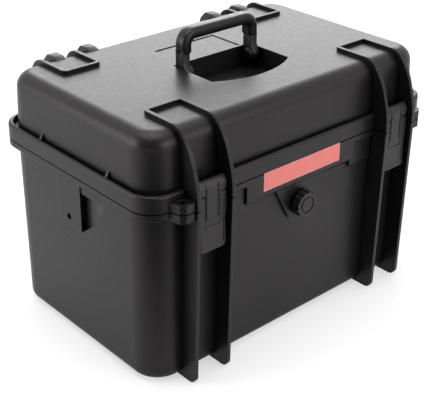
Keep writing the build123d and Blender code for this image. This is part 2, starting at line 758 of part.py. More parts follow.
def latch_lever():
    """U-shaped lever: two arms either side of the stem and a pull plate below them."""
    half = LATCH_WIDTH / 2
    slot = STEM_WIDTH / 2 + STEM_GAP
    top = LEVER_PIVOT_Z + LEVER_PIVOT_INSET
    widest = LEVER_PIVOT_Z - 8
    waist = STEM_BOTTOM
    right = [
        (half - 1, top),
        (half, widest + 7),
        (half, widest - 7),
        (half - 2, waist + 1),
        (half - 0.8, waist - 10),
        (half - 0.8, LEVER_BOTTOM),
    ]
    left = [(-x, z) for x, z in reversed(right)]
    front_view = closed_outline(right + left, [0, 5, 5, 8, 8, 6, 6, 8, 8, 5, 5, 0])
    back_y = LATCH_FACE_Y + LEVER_ARM_DEPTH
    plate_back = LATCH_FACE_Y + LEVER_PLATE_THICKNESS
    side_view = make_face(
        Polyline(
            (LATCH_FACE_Y, LEVER_PIVOT_Z),
            (LATCH_FACE_Y, LEVER_BOTTOM + 8),
            (LATCH_FACE_Y - 1.2, LEVER_BOTTOM),
            (LATCH_FACE_Y - 1.2 + LEVER_PLATE_THICKNESS, LEVER_BOTTOM),
            (plate_back, LEVER_BOTTOM + 8),
            (plate_back, widest - 12),
            (back_y, widest),
            (back_y, LEVER_PIVOT_Z),
            close=True,
        )
    )
    lever = plate_across_x(side_view, 0, LATCH_WIDTH)
    lever += rod_x(LEVER_PIVOT_INSET, LEVER_PIVOT_Y, LEVER_PIVOT_Z, -half, half)
    lever &= plate_across_y(front_view, LATCH_FACE_Y - 5, -RIM_Y)
    lever -= box_between(-slot, slot, LATCH_FACE_Y - 5, -RIM_Y, STEM_BOTTOM - STEM_GAP, top + 1)
    lever -= rod_x(LEVER_PIN_RADIUS + LATCH_CLEARANCE, LEVER_PIVOT_Y, LEVER_PIVOT_Z, -half - 1, half + 1)
    return lever


def lever_pin():
    half = LATCH_WIDTH / 2 - 1
    return rod_x(LEVER_PIN_RADIUS, LEVER_PIVOT_Y, LEVER_PIVOT_Z, -half, half)


# ---- Label and valve ----
def label_plate():
    return box_between(
        -LABEL_WIDTH / 2,
        LABEL_WIDTH / 2,
        -RIM_Y,
        -RIM_Y + LABEL_THICKNESS,
        SEAM_HEIGHT - LABEL_HEIGHT,
        SEAM_HEIGHT,
    )


def valve_body():
    flange_front = VALVE_FACE_Y - VALVE_FLANGE_THICKNESS
    inner_end = -(WALL_Y - WALL - BASE_DRAFT) + NUT_THICKNESS + 1
    knob_back = flange_front - FOAM_CLEARANCE
    spigot_front = knob_back - KNOB_THICKNESS + 2
    body = rod_y(VALVE_FLANGE_RADIUS, 0, VALVE_Z, flange_front, VALVE_FACE_Y)
    body += rod_y(VALVE_STEM_RADIUS, 0, VALVE_Z, flange_front, inner_end)
    body += rod_y(VALVE_SPIGOT_RADIUS, 0, VALVE_Z, spigot_front, flange_front)
    groove_y = VALVE_FACE_Y - ORING_SECTION_RADIUS
    groove_radius = (VALVE_STEM_RADIUS + VALVE_FLANGE_RADIUS) / 2
    groove = Pos(0, groove_y, VALVE_Z) * Rot(90, 0, 0) * Torus(groove_radius, ORING_SECTION_RADIUS + 0.05)
    mouth = rod_y(groove_radius + ORING_SECTION_RADIUS, 0, VALVE_Z, groove_y, VALVE_FACE_Y + 1)
    mouth -= rod_y(groove_radius - ORING_SECTION_RADIUS, 0, VALVE_Z, groove_y - 1, VALVE_FACE_Y + 2)
    return body - groove - mouth


def valve_oring():
    groove_radius = (VALVE_STEM_RADIUS + VALVE_FLANGE_RADIUS) / 2
    place = Pos(0, VALVE_FACE_Y - ORING_SECTION_RADIUS, VALVE_Z)
    return place * Rot(90, 0, 0) * Torus(groove_radius, ORING_SECTION_RADIUS)


def wall_inner_y(z):
    share = (z - FOOT_HEIGHT) / (SEAM_HEIGHT - FOOT_HEIGHT)
    return WALL_Y - BASE_DRAFT * (1 - share) - WALL


def valve_nut():
    outer_y = -wall_inner_y(VALVE_Z) + NUT_SEAT_CLEARANCE
    hexagon = RegularPolygon(NUT_ACROSS_FLATS / 2, 6, major_radius=False)
    nut = plate_across_y(Pos(0, VALVE_Z) * hexagon, outer_y, outer_y + NUT_THICKNESS)
    return nut - rod_y(VALVE_STEM_RADIUS + PIN_SEAT_CLEARANCE, 0, VALVE_Z, outer_y - 1, outer_y + NUT_THICKNESS + 1)


def valve_knob():
    back = VALVE_FACE_Y - VALVE_FLANGE_THICKNESS - FOAM_CLEARANCE
    front = back - KNOB_THICKNESS
    outline = Pos(0, VALVE_Z) * Circle(KNOB_RADIUS)
    for place in PolarLocations(KNOB_RADIUS + KNOB_SCALLOP_RADIUS * 0.45, KNOB_SCALLOPS):
        outline -= Pos(0, VALVE_Z) * place * Circle(KNOB_SCALLOP_RADIUS)
    knob = plate_across_y(outline, front, back)
    knob -= rod_y(KNOB_COLLAR_RADIUS, 0, VALVE_Z, front - 1, front + KNOB_RING_DEPTH)
    knob += rod_y(KNOB_COLLAR_RADIUS - 2, 0, VALVE_Z, front, front + 2 * KNOB_RING_DEPTH)
    bore_front = back - KNOB_THICKNESS + 2 - FOAM_CLEARANCE
    knob -= rod_y(VALVE_SPIGOT_RADIUS + VALVE_RUNNING_CLEARANCE, 0, VALVE_Z, bore_front, back + 1)
    return knob


# ---- Handle ----
def handle_path(bottom):
    x = HANDLE_HALF_WIDTH - LEG_WIDTH / 2
    top = HANDLE_TOP - GRIP_THICKNESS / 2
    y = HANDLE_PIVOT_Y
    return FilletPolyline((-x, y, bottom), (-x, y, top), (x, y, top), (x, y, bottom), radius=GRIP_BEND_RADIUS)


def handle_bar(width, depth, corner, bottom):
    path = handle_path(bottom)
    x = HANDLE_HALF_WIDTH - LEG_WIDTH / 2
    section = Plane(origin=(-x, HANDLE_PIVOT_Y, bottom), x_dir=(1, 0, 0), z_dir=(0, 0, 1)) * RectangleRounded(
        width, depth, corner
    )
    return sweep(section, path=path)


def handle_bail():
    bar = handle_bar(CORE_WIDTH, CORE_DEPTH, 2.5, HANDLE_PIVOT_Z)
    x = HANDLE_HALF_WIDTH - LEG_WIDTH / 2
    half_depth = LEG_DEPTH / 2
    leg_outline = closed_outline(
        [
            (HANDLE_PIVOT_Y - half_depth, HANDLE_PIVOT_Z),
            (HANDLE_PIVOT_Y + half_depth, HANDLE_PIVOT_Z),
            (HANDLE_PIVOT_Y + half_depth, GRIP_BOTTOM),
            (HANDLE_PIVOT_Y - half_depth, GRIP_BOTTOM),
        ],
        [0, 0, 0, 0],
    )
    leg = plate_across_x(leg_outline, x, LEG_WIDTH)
    leg += rod_x(half_depth, HANDLE_PIVOT_Y, HANDLE_PIVOT_Z, x - LEG_WIDTH / 2, x + LEG_WIDTH / 2)
    bail = bar + both_sides(leg)
    bail -= both_sides(
        rod_x(
            HANDLE_PIN_RADIUS + HANDLE_PIN_CLEARANCE,
            HANDLE_PIVOT_Y,
            HANDLE_PIVOT_Z,
            x - LEG_WIDTH,
            x + LEG_WIDTH,
        )
    )
    return bail


def handle_grip():
    outer = handle_bar(LEG_WIDTH + 1, GRIP_DEPTH, GRIP_SECTION_RADIUS, GRIP_BOTTOM + OVERMOULD_GAP)
    core = handle_bar(
        CORE_WIDTH + 2 * OVERMOULD_GAP, CORE_DEPTH + 2 * OVERMOULD_GAP, 2.5 + OVERMOULD_GAP, GRIP_BOTTOM - 1
    )
    return outer - core


# ---- Foam ----
def foam_floor():
    width = 2 * LINING_OUTER_X
    depth = 2 * LINING_OUTER_Y
    corner = BODY_CORNER - WALL - FOAM_CLEARANCE
    floor = straight_block(width, depth, corner, FLOOR_TOP, FLOOR_TOP + FOAM_FLOOR_THICKNESS)
    return chamfer(floor.faces().sort_by(Axis.Z)[0].edges(), BOTTOM_RADIUS - WALL)


def lining_front_rear(side):
    half = WALL_X - BODY_CORNER
    inner = LINING_OUTER_Y - LINING_THICKNESS
    sheet = box_between(-half, half, inner, LINING_OUTER_Y, FOAM_BOTTOM, DIVIDER_TOP)
    if side < 0:
        sheet = mirror(sheet, about=Plane.XZ)
        sheet -= rod_y(NUT_ROOM, 0, VALVE_Z, -LINING_OUTER_Y - 1, -inner + 1)
    return sheet


def lining_side():
    half = WALL_Y - BODY_CORNER
    inner = LINING_OUTER_X - LINING_THICKNESS
    sheet = box_between(inner, LINING_OUTER_X, -half, half, FOAM_BOTTOM, DIVIDER_TOP)
    return sheet - side_bump(FOAM_CLEARANCE)


def divider_places():
    inner_x = LINING_OUTER_X - LINING_THICKNESS
    inner_y = LINING_OUTER_Y - LINING_THICKNESS
    pitch_x = (2 * inner_x - (COLUMNS - 1) * DIVIDER_THICKNESS) / COLUMNS + DIVIDER_THICKNESS
    pitch_y = (2 * inner_y - (ROWS - 1) * DIVIDER_THICKNESS) / ROWS + DIVIDER_THICKNESS
    xs = [(i - COLUMNS / 2) * pitch_x for i in range(1, COLUMNS)]
    ys = [(i - ROWS / 2) * pitch_y for i in range(1, ROWS)]
    return xs, ys


def dividers():
    """Cross-lapped strips: the long ones are slotted from above, the cross ones from below."""
    xs, ys = divider_places()
    inner_x = LINING_OUTER_X - LINING_THICKNESS - FOAM_CLEARANCE
    inner_y = LINING_OUTER_Y - LINING_THICKNESS - FOAM_CLEARANCE
    half = DIVIDER_THICKNESS / 2
    slot = half + FOAM_CLEARANCE
    middle = (FOAM_BOTTOM + DIVIDER_TOP) / 2
    long_strips = Part()
    for y in ys:
        strip = box_between(-inner_x, inner_x, y - half, y + half, FOAM_BOTTOM, DIVIDER_TOP)
        for x in xs:
            strip -= box_between(x - slot, x + slot, y - slot, y + slot, middle, DIVIDER_TOP + 1)
        long_strips += strip
    cross_strips = Part()
    for x in xs:
        strip = box_between(x - half, x + half, -inner_y, inner_y, FOAM_BOTTOM, DIVIDER_TOP)
        for y in ys:
            bottom = FOAM_BOTTOM - 1
            strip -= box_between(x - slot, x + slot, y - slot, y + slot, bottom, middle + FOAM_CLEARANCE)
        cross_strips += strip
    return long_strips, cross_strips


def lid_pad():
    top = POCKET_FLOOR - WALL - FOAM_CLEARANCE
    bottom = top - LID_PAD_THICKNESS
    narrowing = 2 * (LID_DRAFT + WALL + FOAM_CLEARANCE)
    return straight_block(BODY_WIDTH - narrowing, BODY_DEPTH - narrowing, BODY_CORNER - WALL, bottom, top)


def lid_block():
    inner_x = POCKET_HALF_WIDTH + WALL + FOAM_CLEARANCE
    bottom = POCKET_FLOOR - WALL
    top = LID_TOP - WALL - FOAM_CLEARANCE
    return box_between(inner_x, LID_BLOCK_OUTER_X, -LID_BLOCK_HALF_DEPTH, LID_BLOCK_HALF_DEPTH, bottom, top)


long_strips, cross_strips = dividers()
side_lining = lining_side()
block = lid_block()
nodes = {
    "base_shell": base_shell(),
    "label_plate": label_plate(),
    "hinge_pins": hinge_pins(),
    "latch_swing_pins": latch_pins(),
    "valve_body": valve_body(),
    "valve_oring": valve_oring(),
    "valve_nut": valve_nut(),
    "valve_knob": valve_knob(),
    "foam_floor": foam_floor(),
    "foam_lining_front": lining_front_rear(-1),
    "foam_lining_rear": lining_front_rear(1),
    "foam_lining_right": side_lining,
    "foam_lining_left": mirrored_x(side_lining),
    "foam_dividers_long": long_strips,
    "foam_dividers_cross": cross_strips,
    "lid_shell": lid_shell(),
    "lid_gasket": gasket(),
    "lid_foam_pad": lid_pad(),
    "lid_foam_block_right": block,
    "lid_foam_block_left": mirrored_x(block),
    "handle_pins": handle_pins(),
    "handle_bail": handle_bail(),
    "handle_grip": handle_grip(),
}
for side, sign in (("left", -1), ("right", 1)):
    place = Pos(sign * LATCH_X, 0, 0)
    nodes[f"latch_link_{side}"] = place * latch_link()
    nodes[f"latch_lever_{side}"] = place * latch_lever()
    nodes[f"lever_pin_{side}"] = place * lever_pin()

os.makedirs("parts", exist_ok=True)
for name, shape in nodes.items():
    export_step(shape, f"parts/{name}.step")
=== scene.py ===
import json
from math import cos, pi, radians, sin

import bpy
import numpy as np
from mathutils import Matrix, Vector


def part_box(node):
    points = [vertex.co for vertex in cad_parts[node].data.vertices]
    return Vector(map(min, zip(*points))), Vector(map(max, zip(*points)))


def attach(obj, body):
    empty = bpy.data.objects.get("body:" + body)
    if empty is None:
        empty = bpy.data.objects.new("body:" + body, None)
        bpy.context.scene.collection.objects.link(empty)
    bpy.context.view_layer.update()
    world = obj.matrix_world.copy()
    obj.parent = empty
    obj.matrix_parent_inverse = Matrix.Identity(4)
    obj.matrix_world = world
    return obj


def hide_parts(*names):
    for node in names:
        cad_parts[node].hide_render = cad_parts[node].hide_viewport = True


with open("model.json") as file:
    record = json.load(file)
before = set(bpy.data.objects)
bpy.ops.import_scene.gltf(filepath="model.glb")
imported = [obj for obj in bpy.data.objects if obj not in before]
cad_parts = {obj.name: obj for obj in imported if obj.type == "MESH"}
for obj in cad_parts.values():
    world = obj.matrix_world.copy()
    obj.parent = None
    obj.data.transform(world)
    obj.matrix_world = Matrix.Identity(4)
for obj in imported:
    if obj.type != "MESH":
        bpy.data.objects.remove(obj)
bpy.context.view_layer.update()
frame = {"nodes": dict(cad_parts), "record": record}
NODES = frame["nodes"]
MM = 0.001

# ---- Camera ----
PHOTO_WIDTH = 440
PHOTO_HEIGHT = 401
CAMERA_AZIMUTH = radians(-42.185)
CAMERA_ELEVATION = radians(25.373)
CAMERA_ROLL = radians(0.493)
CAMERA_DISTANCE = 1.0
CAMERA_TARGET = Vector((-0.08314, -0.09186, 0.21943))
FOCAL_PIXELS = 1024.8
PRINCIPAL_Y = 150.0
SENSOR = 36.0


def camera_axes(azimuth, elevation, roll):
    """Right, up and back vectors of a camera at this azimuth and elevation, rolled about its own axis."""
    back = Vector((sin(azimuth) * cos(elevation), -cos(azimuth) * cos(elevation), sin(elevation)))
    right = Vector((cos(azimuth), sin(azimuth), 0.0))
    up = back.cross(right)
    rolled_right = right * cos(roll) + up * sin(roll)
    rolled_up = up * cos(roll) - right * sin(roll)
    return rolled_right, rolled_up, back


def make_camera():
    right, up, back = camera_axes(CAMERA_AZIMUTH, CAMERA_ELEVATION, CAMERA_ROLL)
    data = bpy.data.cameras.new("camera")
    data.sensor_fit = "HORIZONTAL"
    data.sensor_width = SENSOR
    data.lens = SENSOR * FOCAL_PIXELS / PHOTO_WIDTH
    data.shift_y = (PRINCIPAL_Y - PHOTO_HEIGHT / 2) / PHOTO_WIDTH
    camera = bpy.data.objects.new("camera", data)
    bpy.context.scene.collection.objects.link(camera)
    place = Matrix((right, up, back)).transposed().to_4x4()
    place.translation = CAMERA_TARGET + back * CAMERA_DISTANCE
    camera.matrix_world = place
    bpy.context.scene.camera = camera


# ---- Node helpers ----
def new_material(name):
    material = bpy.data.materials.new(name)
    material.use_nodes = True
    tree = material.node_tree
    tree.nodes.clear()
    return material, tree


def add_node(tree, kind, **settings):
    node = tree.nodes.new(kind)
    for key, value in settings.items():
        setattr(node, key, value)
    return node


def set_inputs(node, **values):
    """Set unlinked inputs by name, with an underscore for each space."""
    for key, value in values.items():
        node.inputs[key.replace("_", " ")].default_value = value


def object_coords(tree):
    """Coordinates in the piece's own space, in metres, so the grain keeps its size on every piece."""
    return add_node(tree, "ShaderNodeTexCoord").outputs["Object"]


def noise_node(tree, coords, scale, detail=2.0, roughness=0.5):
    node = add_node(tree, "ShaderNodeTexNoise")
    set_inputs(node, Scale=scale, Detail=detail, Roughness=roughness)
    tree.links.new(coords, node.inputs["Vector"])
    return node.outputs["Fac"]


def map_range(tree, value, low, high, to_low, to_high, interpolation="LINEAR"):
    node = add_node(tree, "ShaderNodeMapRange", interpolation_type=interpolation)
    tree.links.new(value, node.inputs["Value"])
    set_inputs(node, From_Min=low, From_Max=high, To_Min=to_low, To_Max=to_high)
    return node.outputs["Result"]


# A Mix node has sockets for every data type; these are the places of its colours.
MIX_FIRST, MIX_SECOND, MIX_RESULT = 6, 7, 2


def mix_color(tree, factor, first, second):
    """The first colour where the factor is 0 and the second where it is 1; each a socket or a colour."""
    node = add_node(tree, "ShaderNodeMix", data_type="RGBA")
    tree.links.new(factor, node.inputs["Factor"])
    for socket, color in ((node.inputs[MIX_FIRST], first), (node.inputs[MIX_SECOND], second)):
        if isinstance(color, bpy.types.NodeSocket):
            tree.links.new(color, socket)
        else:
            socket.default_value = (*color, 1.0)
    return node.outputs[MIX_RESULT]


def combine(tree, operation, first, second):
    """The result of a Math node on two values, each a socket or a number."""
    node = add_node(tree, "ShaderNodeMath", operation=operation)
    for socket, value in ((node.inputs[0], first), (node.inputs[1], second)):
        if isinstance(value, bpy.types.NodeSocket):
            tree.links.new(value, socket)
        else:
            socket.default_value = value
    return node.outputs[0]


def bump(tree, height, distance, normal=None):
    node = add_node(tree, "ShaderNodeBump")
    set_inputs(node, Strength=1.0, Distance=distance)
    tree.links.new(height, node.inputs["Height"])
    if normal is not None:
        tree.links.new(normal, node.inputs["Normal"])
    return node.outputs["Normal"]


# ---- Edges, and painted shade in crevices and along the seam ----
EDGE_SAMPLES = 4
FLAT_FACING = 0.995
EDGE_FACING = 0.85
# Painted shade: an ambient occlusion mask over CREVICE_REACH darkens the colour and the specular level in
# crevices.
CREVICE_SAMPLES = 6
CREVICE_REACH = 5.0 * MM
CREVICE_CLOSED = 0.3
CREVICE_OPEN = 0.9
CREVICE_OPENNESS = 0.1
# Painted shade: a band round SEAM_Z darkens the colour to a dark line along the seam between base and lid.
SEAM_Z = 197.2 * MM
SEAM_HALF = 0.55 * MM
SEAM_FADE = 0.3 * MM
SEAM_OPENNESS = 0.05


def soft_edges(tree, radius):
    """The normal of slightly rounded edges, and a mask that is 1 along them."""
    bevel = add_node(tree, "ShaderNodeBevel", samples=EDGE_SAMPLES)
    bevel.inputs["Radius"].default_value = radius
    geometry = add_node(tree, "ShaderNodeNewGeometry")
    dot = add_node(tree, "ShaderNodeVectorMath", operation="DOT_PRODUCT")
    tree.links.new(bevel.outputs["Normal"], dot.inputs[0])
    tree.links.new(geometry.outputs["Normal"], dot.inputs[1])
    mask = map_range(tree, dot.outputs["Value"], FLAT_FACING, EDGE_FACING, 0.0, 1.0)
    return bevel.outputs["Normal"], mask


def unshaded_share(tree, coords, painted_seam_shade):
    """Mask for painted shade: 1 on open faces, falling towards 0 in crevices and along the painted dark line
    of shade where the two shells meet.
    """
    crevice = add_node(tree, "ShaderNodeAmbientOcclusion", samples=CREVICE_SAMPLES)
    crevice.inputs["Distance"].default_value = CREVICE_REACH
    unshaded = map_range(tree, crevice.outputs["AO"], CREVICE_CLOSED, CREVICE_OPEN, CREVICE_OPENNESS, 1.0)
    if not painted_seam_shade:
        return unshaded
    split = add_node(tree, "ShaderNodeSeparateXYZ")
    tree.links.new(coords, split.inputs[0])
    off_seam = combine(tree, "ABSOLUTE", combine(tree, "SUBTRACT", split.outputs["Z"], SEAM_Z), 0.0)
    beside = map_range(tree, off_seam, SEAM_HALF, SEAM_HALF + SEAM_FADE, SEAM_OPENNESS, 1.0)
    return combine(tree, "MULTIPLY", unshaded, beside)


def principled(tree, color, roughness, normal):
    shader = add_node(tree, "ShaderNodeBsdfPrincipled")
    output = add_node(tree, "ShaderNodeOutputMaterial")
    tree.links.new(shader.outputs["BSDF"], output.inputs["Surface"])
    for socket, value in (("Base Color", color), ("Roughness", roughness), ("Normal", normal)):
        tree.links.new(value, shader.inputs[socket])
    return shader


# ---- Materials ----
# Noise scales are in cells per metre and bump depths in metres.
# Most of a noise lies between LOW_NOISE and HIGH_NOISE.
LOW_NOISE = 0.3
HIGH_NOISE = 0.7
SPECULAR_LEVEL = 0.37
WARM_TINT = (1.0, 0.93, 0.94, 1.0)
WORN_EDGE = (0.07, 0.066, 0.068)
EDGE_WEAR = 0.6
EDGE_POLISH = 0.08
ROUGHNESS_DIP = 0.03
ROUGHNESS_RISE = 0.04
RUBBER_SPREAD = 0.05
DEEPER_RED = 0.93
# Painted shade: the near-black colour put in crevices and along the seam.
PAINTED_SHADE_COLOR = (0.001, 0.001, 0.001)
MOTTLE_SCALE = 14.0
MOTTLE_SHARE = 0.6
SPECK_SCALE = 420.0
SPECK_SHARE = 0.4
RUB_SCALE = 170.0
RIPPLE_SCALE = 260.0
RIPPLE_OVER_GRAIN = 2.0


def varied(tree, noise, low, high):
    """A value that wanders between low and high with the noise."""
    return map_range(tree, noise, LOW_NOISE, HIGH_NOISE, low, high)


def moulded_plastic(name, dark, light, roughness, grain, grain_depth, edge_radius, painted_seam_shade=False):
    """Grained moulded plastic: mottled colour, fine grain, rubbed, slightly rounded edges, and painted shade
    in crevices and, where asked, along the seam.
    """
    material, tree = new_material(name)
    coords = object_coords(tree)
    mottle = combine(tree, "MULTIPLY", noise_node(tree, coords, MOTTLE_SCALE, detail=3.0), MOTTLE_SHARE)
    speck = combine(tree, "MULTIPLY", noise_node(tree, coords, SPECK_SCALE), SPECK_SHARE)
    tone = map_range(tree, combine(tree, "ADD", mottle, speck), low=0.35, high=0.65, to_low=0.0, to_high=1.0)
    edge_normal, edge = soft_edges(tree, edge_radius)
    wear = combine(tree, "MULTIPLY", edge, EDGE_WEAR)
    worn = mix_color(tree, wear, mix_color(tree, tone, dark, light), WORN_EDGE)
    # Painted shade: the colour goes nearly black in crevices and, for the case, along the seam.
    unshaded = unshaded_share(tree, coords, painted_seam_shade)
    color = mix_color(tree, unshaded, PAINTED_SHADE_COLOR, worn)
    rubbed = noise_node(tree, coords, RUB_SCALE, detail=4.0, roughness=0.6)
    rough = varied(tree, rubbed, roughness - ROUGHNESS_DIP, roughness + ROUGHNESS_RISE)
    rough = combine(tree, "SUBTRACT", rough, combine(tree, "MULTIPLY", edge, EDGE_POLISH))
    ripples = noise_node(tree, coords, RIPPLE_SCALE, detail=3.0, roughness=0.6)
    grains = noise_node(tree, coords, grain, detail=3.0, roughness=0.6)
    rippled = bump(tree, ripples, RIPPLE_OVER_GRAIN * grain_depth, edge_normal)
    shader = principled(tree, color, rough, bump(tree, grains, grain_depth, rippled))
    # The specular level drops with the same painted shade.
    tree.links.new(combine(tree, "MULTIPLY", unshaded, SPECULAR_LEVEL), shader.inputs["Specular IOR Level"])
    shader.inputs["Specular Tint"].default_value = WARM_TINT
    return material


def rubber(name, color, lighter, roughness):
    """Matt rubber with cloudy colour and a very fine grain."""
    material, tree = new_material(name)
    coords = object_coords(tree)
    body = mix_color(tree, noise_node(tree, coords, scale=90.0, detail=3.0), color, lighter)
    edge_normal, _ = soft_edges(tree, radius=0.6 * MM)
    cloudy = noise_node(tree, coords, scale=150.0)
    rough = varied(tree, cloudy, roughness - RUBBER_SPREAD, roughness + RUBBER_SPREAD)
    normal = bump(tree, noise_node(tree, coords, scale=2400.0), distance=0.02 * MM, normal=edge_normal)
    shader = principled(tree, body, rough, normal)
    shader.inputs["Specular IOR Level"].default_value = SPECULAR_LEVEL
    return material


def printed_label(name, red, painted_edge_highlight):
    """A satin printed plate with a painted highlight on its rim, paler where its edge catches the light."""
    material, tree = new_material(name)
    coords = object_coords(tree)
    edge_normal, edge = soft_edges(tree, radius=1.1 * MM)
    deeper = [DEEPER_RED * channel for channel in red]
    uneven_red = mix_color(tree, noise_node(tree, coords, scale=50.0), red, deeper)
    # Painted highlight: the rim of the plate is mixed towards a pale pink.
    color = mix_color(tree, edge, uneven_red, painted_edge_highlight)
    rough = varied(tree, noise_node(tree, coords, scale=300.0), low=0.38, high=0.46)
    normal = bump(tree, noise_node(tree, coords, scale=1500.0), distance=0.005 * MM, normal=edge_normal)
    principled(tree, color, rough, normal)
    return material


def blackened_steel(name, dark, light):
    """Pins with a thin oxide coat, a little shinier in patches."""
    material, tree = new_material(name)
    coords = object_coords(tree)
    color = mix_color(tree, noise_node(tree, coords, scale=200.0), dark, light)
    rough = varied(tree, noise_node(tree, coords, scale=900.0, detail=4.0), low=0.22, high=0.34)
    edge_normal, _ = soft_edges(tree, radius=0.3 * MM)
    shader = principled(tree, color, rough, edge_normal)
    shader.inputs["Metallic"].default_value = 1.0
    return material


def open_cell_foam(name, dark, light):
    """Charcoal foam: pores of two sizes in relief, with painted shade that darkens the colour where the
    pores are deepest.
    """
    material, tree = new_material(name)
    coords = object_coords(tree)
    pores = add_node(tree, "ShaderNodeTexVoronoi")
    pores.inputs["Scale"].default_value = 700.0
    tree.links.new(coords, pores.inputs["Vector"])
    fine = noise_node(tree, coords, scale=1500.0, detail=3.0, roughness=0.7)
    depth = combine(tree, "ADD", pores.outputs["Distance"], fine)
    # Painted shade: the colour is darker where the relief is deeper.
    color = mix_color(tree, map_range(tree, depth, low=0.5, high=1.1, to_low=0.0, to_high=1.0), dark, light)
    rough = varied(tree, fine, low=0.9, high=1.0)
    principled(tree, color, rough, bump(tree, depth, distance=0.35 * MM))
    return material


MATERIALS = {
    "case_plastic": moulded_plastic(
        "case_plastic",
        dark=(0.0060, 0.0053, 0.0054),
        light=(0.0115, 0.0104, 0.0105),
        roughness=0.37,
        grain=1500.0,
        grain_depth=0.06 * MM,
        edge_radius=0.9 * MM,
        # Paints a dark line of shade along the seam.
        painted_seam_shade=True,
    ),
    "latch_plastic": moulded_plastic(
        "latch_plastic",
        dark=(0.018, 0.017, 0.018),
        light=(0.027, 0.026, 0.027),
        roughness=0.34,
        grain=2200.0,
        grain_depth=0.02 * MM,
        edge_radius=0.7 * MM,
    ),
    "handle_plastic": moulded_plastic(
        "handle_plastic",
        dark=(0.009, 0.0085, 0.009),
        light=(0.014, 0.0135, 0.014),
        roughness=0.34,
        grain=1800.0,
        grain_depth=0.03 * MM,
        edge_radius=0.8 * MM,
    ),
    "valve_plastic": moulded_plastic(
        "valve_plastic",
        dark=(0.014, 0.013, 0.014),
        light=(0.021, 0.020, 0.021),
        roughness=0.38,
        grain=2000.0,
        grain_depth=0.03 * MM,
        edge_radius=0.6 * MM,
    ),
    "grip_rubber": rubber("grip_rubber", (0.007, 0.0065, 0.007), (0.011, 0.010, 0.011), roughness=0.32),
    "seal_rubber": rubber("seal_rubber", (0.010, 0.010, 0.010), (0.014, 0.014, 0.014), roughness=0.6),
    # Its pale rim is a painted highlight.
    "label_red": printed_label("label_red", red=(1.0, 0.255, 0.23), painted_edge_highlight=(1.0, 0.75, 0.72)),
    "pin_steel": blackened_steel("pin_steel", dark=(0.060, 0.058, 0.060), light=(0.095, 0.092, 0.095)),
    "foam": open_cell_foam("foam", dark=(0.012, 0.012, 0.013), light=(0.05, 0.05, 0.052)),
}


def dress(obj, slot):
    """Give the object the material of its slot, and no other."""
    obj.data.materials.clear()
    obj.data.materials.append(MATERIALS[slot])


for part in frame["record"]["subparts"]:
    if part["node"] in NODES:
        dress(NODES[part["node"]], part["material_slot"])


# ---- Stage ----
def light_path(tree, *outputs):
    """The largest of the named Light Path outputs."""
    node = add_node(tree, "ShaderNodeLightPath")
    value = node.outputs[outputs[0]]
    for other in outputs[1:]:
        value = combine(tree, "MAXIMUM", value, node.outputs[other])
    return value


WHITE = (1.0, 1.0, 1.0, 1.0)
FLOOR_HALF = 6.0
FLOOR_ALBEDO = 0.54
# Albedo of the floor under its painted shadow.
FLOOR_PAINTED_SHADOW_ALBEDO = 0.02
FLOOR_SEEN = 0.555
FLOOR_SHINE = 0.34
DARK_SIDE = 0.08
DARK_SIDE_ENDS = -0.7
BRIGHT_SIDE_STARTS = 0.3
# A painted shadow on the floor, as of a black flag near the camera: there the floor reflects almost no light
# and shows no shine in reflections.
DARK_SPOT = (-0.52, -0.56, 0.0)
DARK_SPOT_INNER = 0.2
DARK_SPOT_OUTER = 0.6
AMBIENT = 1.05


def dark_spot(tree, coords):
    """0 at the painted shadow on the floor in front of the case's corner and 1 on the floor round it."""
    distance = add_node(tree, "ShaderNodeVectorMath", operation="DISTANCE")
    tree.links.new(coords, distance.inputs[0])
    distance.inputs[1].default_value = DARK_SPOT
    return map_range(
        tree,
        distance.outputs["Value"],
        DARK_SPOT_INNER,
        DARK_SPOT_OUTER,
        0.0,
        1.0,
        interpolation="SMOOTHSTEP",
    )


def studio_side(tree, vector):
    """DARK_SIDE on the side the photograph was taken from and 1 on the far side, along the ground."""
    dot = add_node(tree, "ShaderNodeVectorMath", operation="DOT_PRODUCT")
    tree.links.new(vector, dot.inputs[0])
    dot.inputs[1].default_value = (-sin(CAMERA_AZIMUTH), cos(CAMERA_AZIMUTH), 0.0)
    return map_range(
        tree,
        dot.outputs["Value"],
        DARK_SIDE_ENDS,
        BRIGHT_SIDE_STARTS,
        DARK_SIDE,
        1.0,
        interpolation="SMOOTHSTEP",
    )


